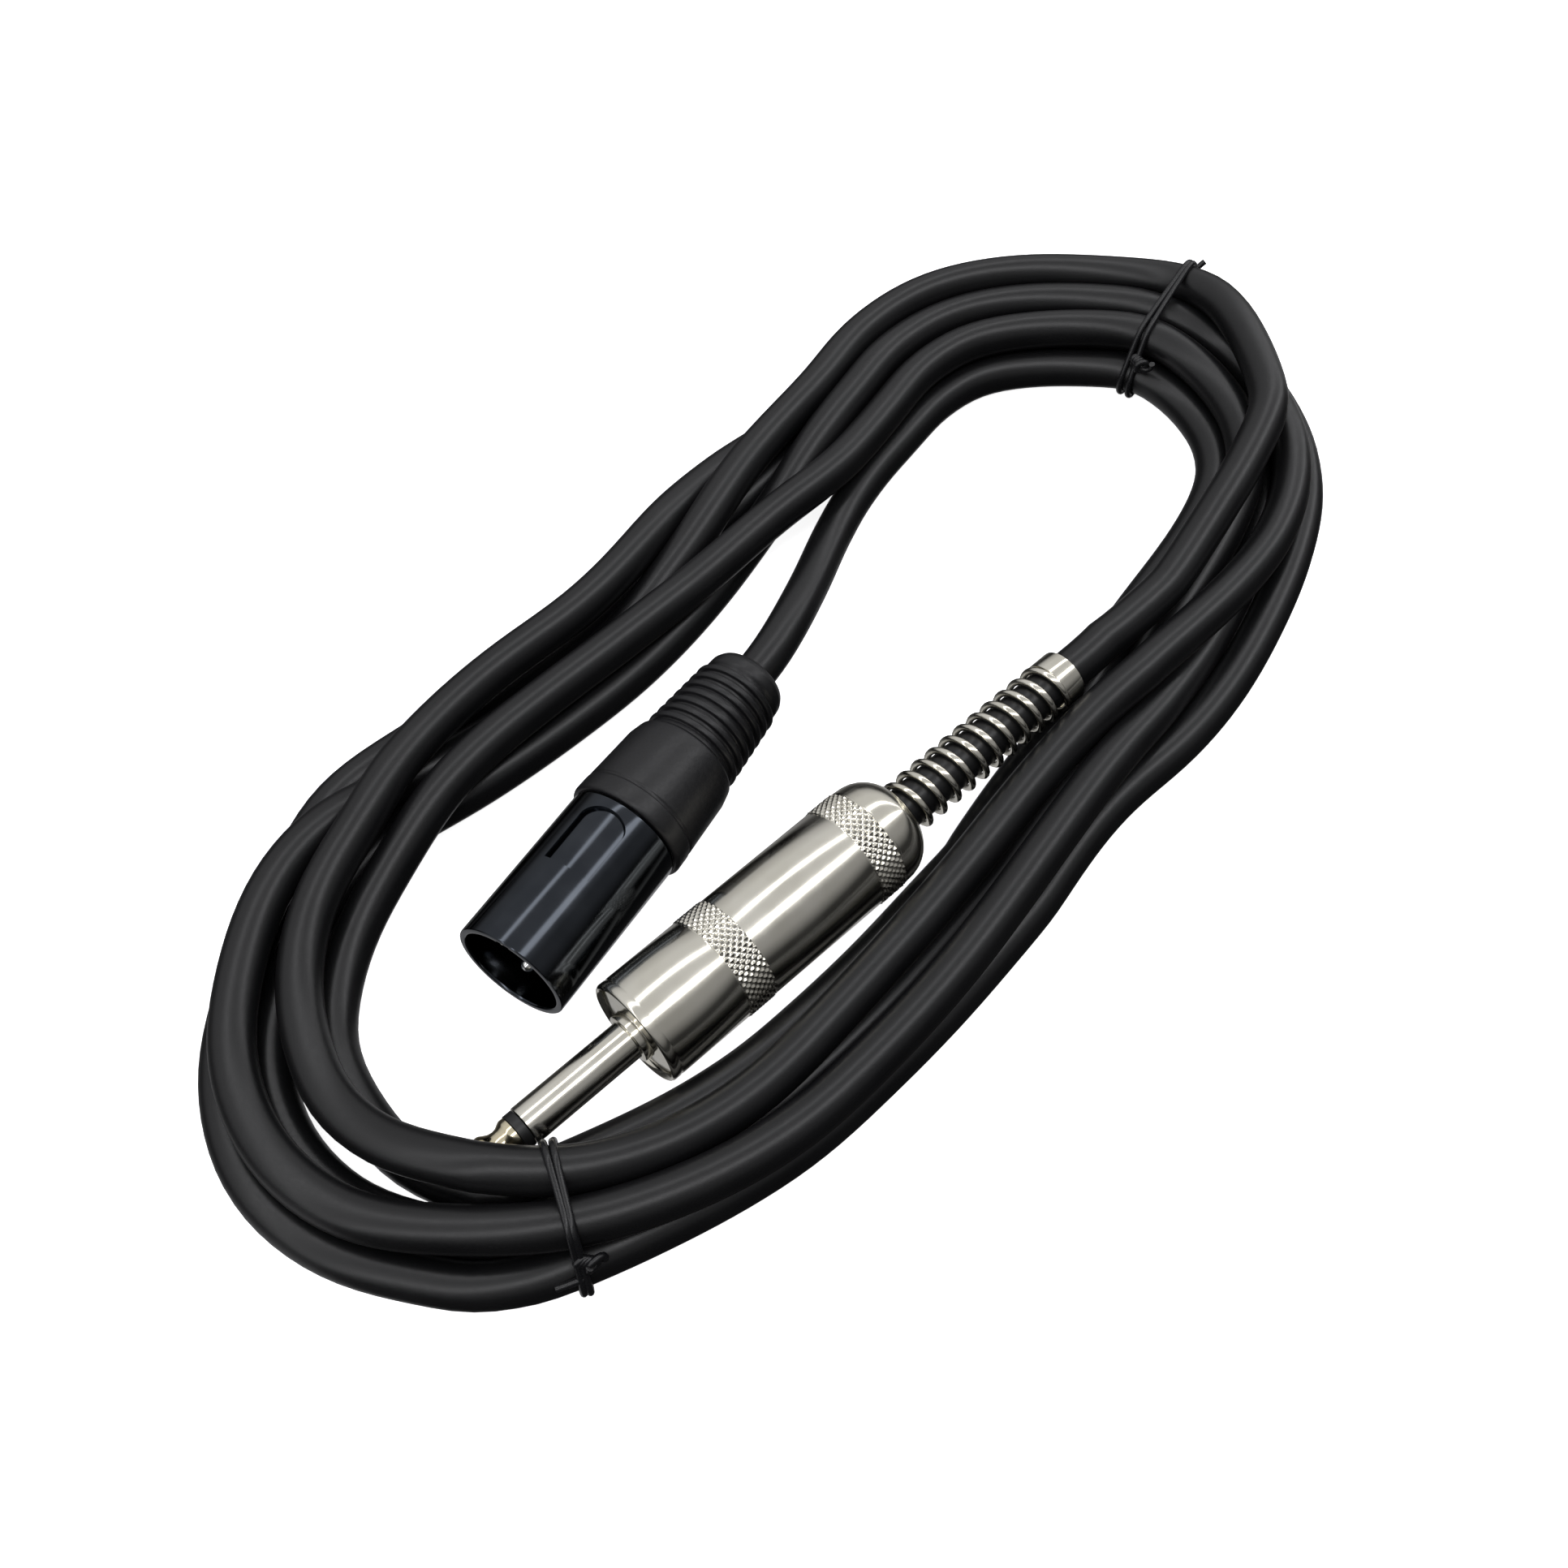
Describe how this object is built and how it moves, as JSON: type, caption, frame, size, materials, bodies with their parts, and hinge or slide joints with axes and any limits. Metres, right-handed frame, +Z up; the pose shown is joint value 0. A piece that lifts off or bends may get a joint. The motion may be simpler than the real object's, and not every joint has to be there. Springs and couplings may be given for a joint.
{
  "type": "coiled audio cable",
  "caption": "Coiled black audio lead with a three-pin male plug at one end and a quarter-inch jack plug at the other, tied in an oval bundle.",
  "frame": {"origin": "on the table, under the middle of the box round the two plugs", "axes": "+X runs along the XLR plug from its pins to its cable, +Z is up"},
  "size_m": [0.243, 0.1101, 0.0204],
  "materials": {
    "black_chrome": "smoked black chrome, glossy",
    "black_plastic": "moulded black plastic",
    "black_rubber": "soft black rubber, satin",
    "nickel": "bright nickel plate, warm tint",
    "gilt": "polished, pale gold",
    "silver": "silver-plated contact",
    "clear_plastic": "translucent insulating sleeve",
    "jacket": "black PVC cable jacket, satin",
    "red_core": "insulated core",
    "white_core": "insulated core",
    "bare_copper": "twisted screen strands",
    "tie_plastic": "plastic-coated tie wire"
  },
  "bodies": {
    "lead_body": {"xlr_shell": "black_chrome", "xlr_insert": "black_plastic", "xlr_pin_1": "silver", "xlr_pin_2": "silver", "xlr_pin_3": "silver", "xlr_ground_contact": "silver", "xlr_wire_hot": "red_core", "xlr_wire_shield": "bare_copper", "xlr_wire_link": "white_core", "jack_tip": "gilt", "jack_tip_insulator": "black_plastic", "jack_sleeve": "nickel", "jack_rear_insulator": "black_plastic", "jack_tip_lug": "silver", "jack_sleeve_lug": "silver", "jack_wire_hot": "red_core", "jack_wire_shield": "bare_copper", "cable_coil": "jacket", "cable_lead_xlr": "jacket", "cable_lead_jack": "jacket", "tie_near": "tie_plastic", "tie_far": "tie_plastic"},
    "xlr_collet": {"xlr_chuck": "black_plastic"},
    "xlr_cap": {"xlr_gland_nut": "black_plastic", "xlr_boot": "black_rubber"},
    "jack_inner_sleeve": {"jack_liner": "clear_plastic"},
    "jack_cover": {"jack_barrel": "nickel", "jack_spring": "nickel"}
  },
  "joints": [
    {"name": "xlr_cap_travel", "type": "slide", "parent": "lead_body", "child": "xlr_collet", "axis": [1, 0, 0], "range_m": [0, 0.005]},
    {"name": "xlr_cap_turn", "type": "hinge", "parent": "xlr_collet", "child": "xlr_cap", "pos_m": [-0.0336, 0.0189, 0.0102], "axis": [1, 0, 0], "range_deg": [0, 1800]},
    {"name": "jack_cover_travel", "type": "slide", "parent": "lead_body", "child": "jack_inner_sleeve", "axis": [0.97, -0.2418, 0.0262], "range_m": [0, 0.005]},
    {"name": "jack_cover_turn", "type": "hinge", "parent": "jack_inner_sleeve", "child": "jack_cover", "pos_m": [-0.0606, 0.0054, 0.00807], "axis": [0.97, -0.2418, 0.0262], "range_deg": [0, 1800]}
  ],
  "couplings": [
    {"joint": "xlr_cap_turn", "follows": "xlr_cap_travel", "rad_per_m": 6283.2},
    {"joint": "jack_cover_turn", "follows": "jack_cover_travel", "rad_per_m": 6283.2}
  ]
}
